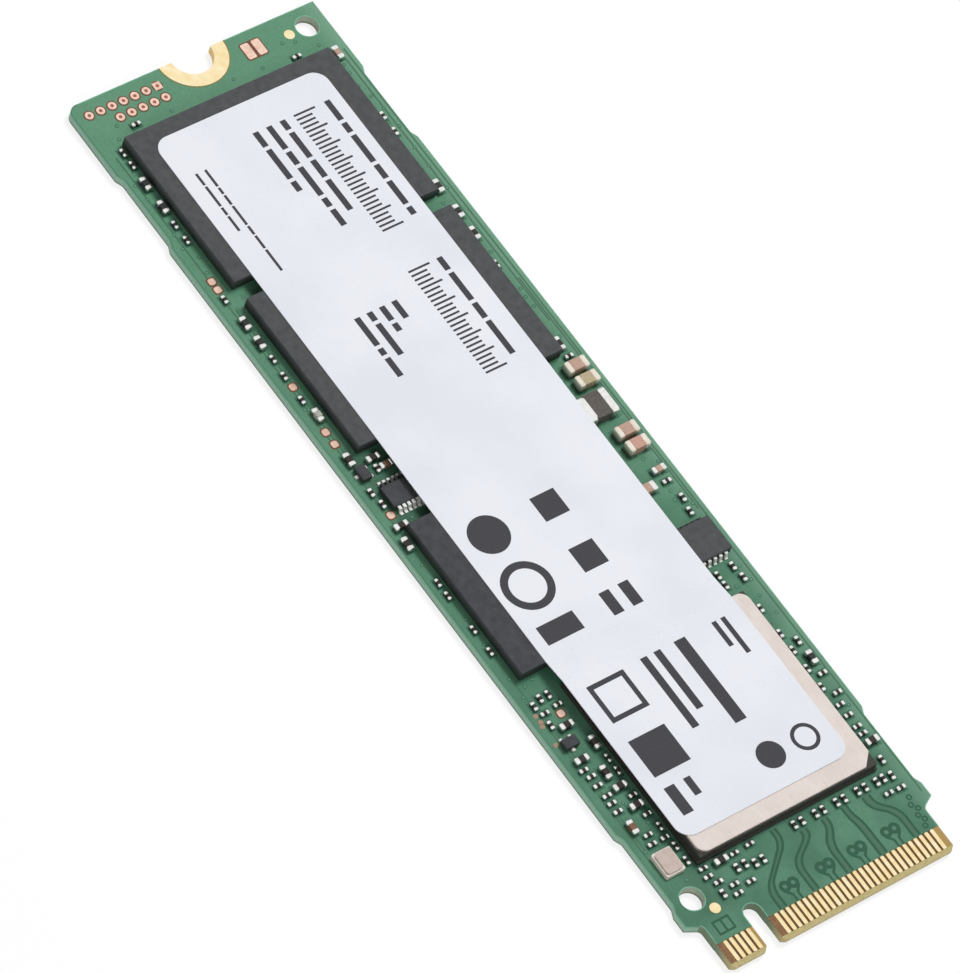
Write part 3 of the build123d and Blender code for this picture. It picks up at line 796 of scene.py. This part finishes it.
def tin_end(bm, low, high, outward, overlap):
    """A metal end with its solder, as one rounded heap against the end of a block."""
    reach = solder_reach + solder_reach * (high.z - low.z)
    across = Vector((abs(outward.y), abs(outward.x), 0)) * solder_side
    low, high = low - across, high + across
    if outward.x + outward.y > 0:
        low, high = low - outward * overlap, high + outward * reach
    else:
        low, high = low + outward * reach, high - outward * overlap
    edges = edges_of(block(bm, low, high))
    free = [edge for edge in edges if max(vert.co.z for vert in edge.verts) > high.z - 0.01]
    round_edges(bm, free, heap_round * min(high - low))


passive_groups = {
    "bulk_capacitor": "capacitor_brown", "inductor": "inductor_grey", "left_edge_passive": "passive_dark",
    "right_edge_passive": "passive_dark", "power_zone_passive": "passive_dark",
    "controller_left_passive": "passive_dark", "controller_right_passive": "passive_dark",
    "contact_zone_passive": "passive_dark", "coupling_capacitor": "passive_dark",
}
cleared = bmesh.new()
for group, slot in passive_groups.items():
    bodies = solid_boxes(f"{group}_bodies")
    ends = solid_boxes(f"{group}_ends")
    bm = bmesh.new()
    for low, high in bodies:
        for face in faces_of(block(bm, low, high)):
            face.material_index = finish_number((low + high) / 2)
    round_edges(bm, bm.edges[:], block_round, 1)
    place_piece(f"{group}_blocks", bm, block_finishes, slot, f"{group}_bodies")

    bm = bmesh.new()
    for count, (low, high) in enumerate(ends):
        middle = (low + high) / 2
        body = min(bodies, key=lambda box: ((box[0] + box[1]) / 2 - middle).length)
        outward = main_way(middle - (body[0] + body[1]) / 2)
        by_label = group == "inductor" and outward.y < 0
        tin_end(bm, low, high, outward, coil_overlap if by_label else end_overlap)
        step = count % clear_cycle
        room = clear_room + room_step * step
        clear_top = board_top + clear_height + clear_step * step
        block(cleared, (low.x - room, low.y - room, board_top), (high.x + room, high.y + room, clear_top))
    metal = fired_end if group == "bulk_capacitor" else tin
    shade_round(place_piece(f"{group}_tin_ends", bm, [metal], "tin", f"{group}_ends"))
place_piece("pad_clearances_and_shade", cleared, [clearance], "board_green")


# ---------------------------------------------------------------- label print: plain bars and shapes
label_thickness = 0.08
ink = 0.004
far_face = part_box("flash_chip_far")[1].z / MM + label_thickness
middle_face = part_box("memory_chip")[1].z / MM + label_thickness
near_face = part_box("controller_lid")[1].z / MM + label_thickness
dash_rows = [  # first x, y, height, lengths of the dashes
    (-31.6, 6.0, 0.5, (1.9, 0.9, 2.6, 1.3, 2.2, 0.7)),
    (-31.6, 2.0, 0.5, (0.9, 2.4, 1.6, 2.9)),
    (-31.6, 0.8, 0.5, (2.2, 1.2, 2.7, 0.8, 1.5)),
    (-31.6, -0.4, 0.5, (1.4, 2.8, 0.9)),
    (-30.5, -5.6, 0.22, (1.6, 0.6, 0.9, 1.8, 0.8, 1.2, 2.0)),
    (-30.5, -6.4, 0.22, (1.1, 1.9, 0.7, 1.4)),
    (-16.6, 5.4, 0.5, (1.2, 2.6, 1.4, 3.1)),
    (-15.0, 0.2, 0.5, (1.6,)),
    (-15.0, -0.9, 0.5, (1.3, 0.7)),
    (-15.0, -2.0, 0.5, (0.8, 2.9)),
    (-15.0, -3.1, 0.5, (2.6, 0.6, 1.7)),
]
dash_gap = 0.6  # as a share of the height
tick_rows = [(-31.6, 3.0, 29), (-16.6, 2.6, 25)]  # first x, y, count
tick_pitch, tick_width, tick_height, long_tick = 0.4, 0.17, 1.4, 1.9
plain_shapes = {  # x, y, outer and inner radius, sides, turn
    middle_face: [(4.2, -5.2, 1.6, 0.0, 36, 0.0), (8.9, -5.2, 2.0, 1.4, 40, 0.0),
                  (4.2, 0.2, 1.5, 0.0, 4, square), (8.9, 0.2, 1.5, 0.0, 4, square)],
    near_face: [(19.3, -5.0, 2.3, 1.75, 4, square), (28.2, 5.0, 1.1, 0.8, 32, 0.0),
                (28.2, 1.9, 1.1, 0.0, 32, 0.0)],
}
plain_bars = {  # x, y, length, height
    middle_face: [(12.0, -6.8, 1.6, 3.2), (11.8, 0.6, 2.0, 0.9), (11.8, -1.1, 2.0, 0.9)],
    near_face: [(22.6, -6.6, 3.2, 3.2), (26.8, -6.6, 2.4, 0.9), (26.8, -4.9, 1.5, 0.6),
                (17.6, 1.2, 7.4, 1.0), (17.6, -0.6, 5.2, 0.6), (17.6, -1.8, 6.3, 0.6),
                (17.6, 4.6, 2.2, 0.4), (17.6, 5.4, 3.2, 0.4)],
}
bm = bmesh.new()
for x, y, height, dashes in dash_rows:
    for length in dashes:
        block(bm, (x, y - height / 2, far_face), (x + length, y + height / 2, far_face + ink))
        x += length + height * dash_gap
for start_x, y, count in tick_rows:
    for step in range(count):
        x = start_x + step * tick_pitch
        height = tick_height if step % 4 else long_tick
        block(bm, (x, y, far_face), (x + tick_width, y + height, far_face + ink))
for face, shapes in plain_shapes.items():
    for x, y, outer, inner, sides, turn in shapes:
        if inner:
            ring(bm, x, y, outer, inner, face, face + ink, sides, turn)
        else:
            disc(bm, x, y, outer, face, face + ink, sides, turn)
for face, bars in plain_bars.items():
    for x, y, length, height in bars:
        block(bm, (x, y, face), (x + length, y + height, face + ink))
place_piece("label_print", bm, [label_ink], "label_paper")


# ---------------------------------------------------------------- floor, light and camera
def seen_directly(start):
    """1 for rays from the camera, from a mirror-like surface or through glass."""
    rays = [start.node("LightPath", {}, {}, name)
            for name in ("Is Camera Ray", "Is Glossy Ray", "Is Transmission Ray")]
    return start.math("MAXIMUM", start.math("MAXIMUM", rays[0], rays[1]), rays[2])


floor_size = 4.0  # metres
floor_drop = 0.03 * MM
floor_glow = 0.8  # share of its own light where the floor is seen directly
room_light = 0.28  # what the room gives to the part, against 1 where it is seen directly
white = (1, 1, 1, 1)
pale_grey = (0.94, 0.94, 0.94, 1)
bm = bmesh.new()
bmesh.ops.create_grid(bm, x_segments=1, y_segments=1, size=floor_size)
bmesh.ops.translate(bm, vec=(0, 0, -floor_drop), verts=bm.verts)
mesh = bpy.data.meshes.new("pale_floor")
bm.to_mesh(mesh)
bm.free()
floor = add_object("pale_floor", mesh)
material = bpy.data.materials.new("pale_floor")
start = empty_tree(material)
matt = start.node("BsdfDiffuse", {}, {"Color": pale_grey})
glow = start.node("Emission", {}, {"Color": white, "Strength": 1.0})
shown = start.node("MixShader", {}, {0: seen_directly(start) * floor_glow, 1: matt, 2: glow})
below = start.node("NewGeometry", {}, {}, "Backfacing")
clear = start.node("BsdfTransparent", {}, {})
one_sided = start.node("MixShader", {}, {0: below, 1: shown, 2: clear})
start.node("OutputMaterial", {}, {"Surface": one_sided})
mesh.materials.append(material)

world = bpy.data.worlds.new("soft_room")
bpy.context.scene.world = world
start = empty_tree(world)
level = room_light + (1 - room_light) * seen_directly(start)
backdrop = start.node("Background", {}, {"Color": white, "Strength": level})
start.node("OutputWorld", {}, {"Surface": backdrop})


def soft_lamp(name, place, size, power):
    """A square lamp that faces the middle of the part and doesn't show in reflections."""
    lamp = bpy.data.lights.new(name, "AREA")
    lamp.size = size
    lamp.energy = power
    holder = add_object(name, lamp)
    holder.location = place
    holder.rotation_mode = "QUATERNION"
    holder.rotation_quaternion = (-Vector(place)).to_track_quat("-Z", "Y")
    holder.visible_glossy = False


soft_lamp("key_lamp", place=(-0.08, 0.21, 0.45), size=0.17, power=2.0)
soft_lamp("fill_lamp", place=(0.33, -0.24, 0.27), size=0.25, power=0.62)

# The photograph's view: its height and its focal length in pixels, and the camera's place in millimetres
photo_height = 973
focal_pixels = 6998.5
sensor_width = 36
camera_right = Vector((0.572339, 0.785864, 0.234191))
camera_down = Vector((0.747478, -0.382542, -0.543082))
camera_forward = Vector((-0.337201, 0.485880, -0.806360))
camera_place = Vector((165.204, -240.509, 395.327))
camera_data = bpy.data.cameras.new("photo_camera")
camera_data.sensor_width = sensor_width
camera_data.lens = focal_pixels / photo_height * sensor_width
camera_data.clip_start = 0.01
camera = add_object("photo_camera", camera_data)
turned = Matrix((camera_right, -camera_down, -camera_forward)).transposed().to_4x4()
camera.matrix_world = Matrix.Translation(camera_place * MM) @ turned
bpy.context.scene.camera = camera
bpy.context.scene.view_settings.view_transform = "Standard"
